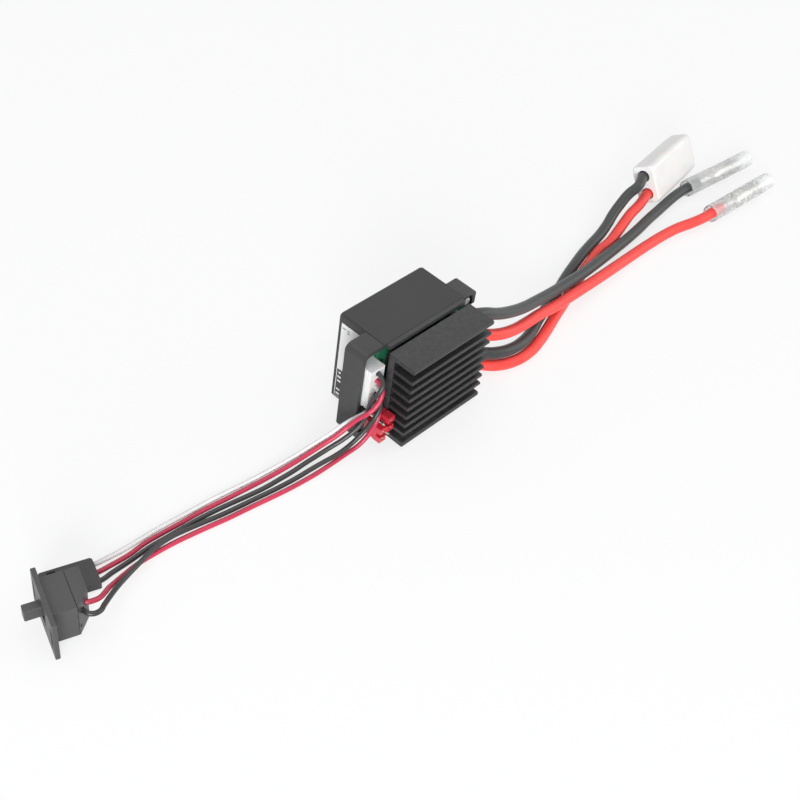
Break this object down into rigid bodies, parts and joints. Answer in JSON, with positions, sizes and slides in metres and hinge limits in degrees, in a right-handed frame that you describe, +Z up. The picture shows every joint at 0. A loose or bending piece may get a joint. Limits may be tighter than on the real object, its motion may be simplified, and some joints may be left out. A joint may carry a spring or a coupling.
{
  "type": "electronic speed controller",
  "caption": "Electronic speed controller for a brushed motor: finned heat sink, mode jumpers, motor and battery leads, receiver plug and flanged power switch.",
  "frame": {"origin": "under the middle of the controller itself, on the surface it lies on", "axes": "X runs along the heat sink fins from the signal connectors to the power leads, Y from the fin tips to the mounting face, Z up from the long side of the case it lies on to its label side"},
  "size_m": [0.3034, 0.0371, 0.0302],
  "materials": {
    "case_plastic": "fine moulded texture",
    "label_film": "matte printed film",
    "white_label": "white paper film with dark print",
    "board_green": "solder mask over copper",
    "steel_screw": "zinc plated",
    "black_anodised": "black anodised",
    "pad_grey": "soft silicone pad",
    "chip_black": "moulded epoxy",
    "ceramic_tan": "ceramic",
    "capacitor_film": "shrink film",
    "solder": "bright solder",
    "header_white": "moulded nylon",
    "gold_plate": "thin gold plating",
    "pin_tin": "tin plated",
    "black_plastic": "moulded",
    "jumper_red": "glossy moulded",
    "wire_white": "soft vinyl",
    "wire_red": "soft vinyl",
    "wire_black": "soft vinyl",
    "lead_black": "matte silicone",
    "lead_red": "matte silicone",
    "clear_sleeve": "clear soft vinyl tube",
    "battery_white": "milky translucent nylon",
    "switch_plastic": "moulded",
    "base_brown": "phenolic board",
    "knob_plastic": "moulded"
  },
  "bodies": {
    "controller": {"case_shell": "case_plastic", "label_sticker": "label_film", "end_sticker": "white_label", "circuit_board": "board_green", "board_screws": "steel_screw", "heat_sink": "black_anodised", "heat_sink_screws": "steel_screw", "thermal_pad": "pad_grey", "power_transistors": "chip_black", "chip_components": "ceramic_tan", "microcontroller": "chip_black", "voltage_regulators": "chip_black", "filter_capacitors": "capacitor_film", "capacitor_leads": "solder", "solder_joints": "solder", "signal_header": "header_white", "header_pins": "gold_plate", "signal_plug": "header_white", "signal_plug_contacts": "gold_plate", "jumper_base": "black_plastic", "jumper_pins": "pin_tin", "receiver_wire_white": "wire_white", "receiver_wire_red": "wire_red", "receiver_wire_black": "wire_black", "switch_wire_red": "wire_red", "switch_wire_black": "wire_black", "servo_plug": "black_plastic", "servo_plug_contacts": "gold_plate", "switch_housing": "switch_plastic", "switch_rear_cover": "switch_plastic", "switch_base": "base_brown", "switch_terminals": "pin_tin", "motor_lead_black": "lead_black", "motor_lead_red": "lead_red", "battery_lead_black": "lead_black", "battery_lead_red": "lead_red", "motor_sleeve_black": "clear_sleeve", "motor_sleeve_red": "clear_sleeve", "motor_socket_black": "gold_plate", "motor_socket_red": "gold_plate", "battery_plug": "battery_white", "battery_plug_contacts": "gold_plate"},
    "switch_slider": {"switch_slider": "knob_plastic", "slider_contact": "gold_plate"},
    "jumper_cap_upper": {"jumper_cap_upper": "jumper_red", "jumper_clip_upper": "pin_tin"},
    "jumper_cap_lower": {"jumper_cap_lower": "jumper_red", "jumper_clip_lower": "pin_tin"}
  },
  "joints": [
    {"name": "switch_slide", "type": "slide", "parent": "controller", "child": "switch_slider", "axis": [-0.3256, -0.9455, 0], "range_m": [0, 0.0024]},
    {"name": "jumper_upper_pull", "type": "slide", "parent": "controller", "child": "jumper_cap_upper", "axis": [0, -1, 0], "range_m": [0, 0.006]},
    {"name": "jumper_lower_pull", "type": "slide", "parent": "controller", "child": "jumper_cap_lower", "axis": [0, -1, 0], "range_m": [0, 0.006]}
  ]
}
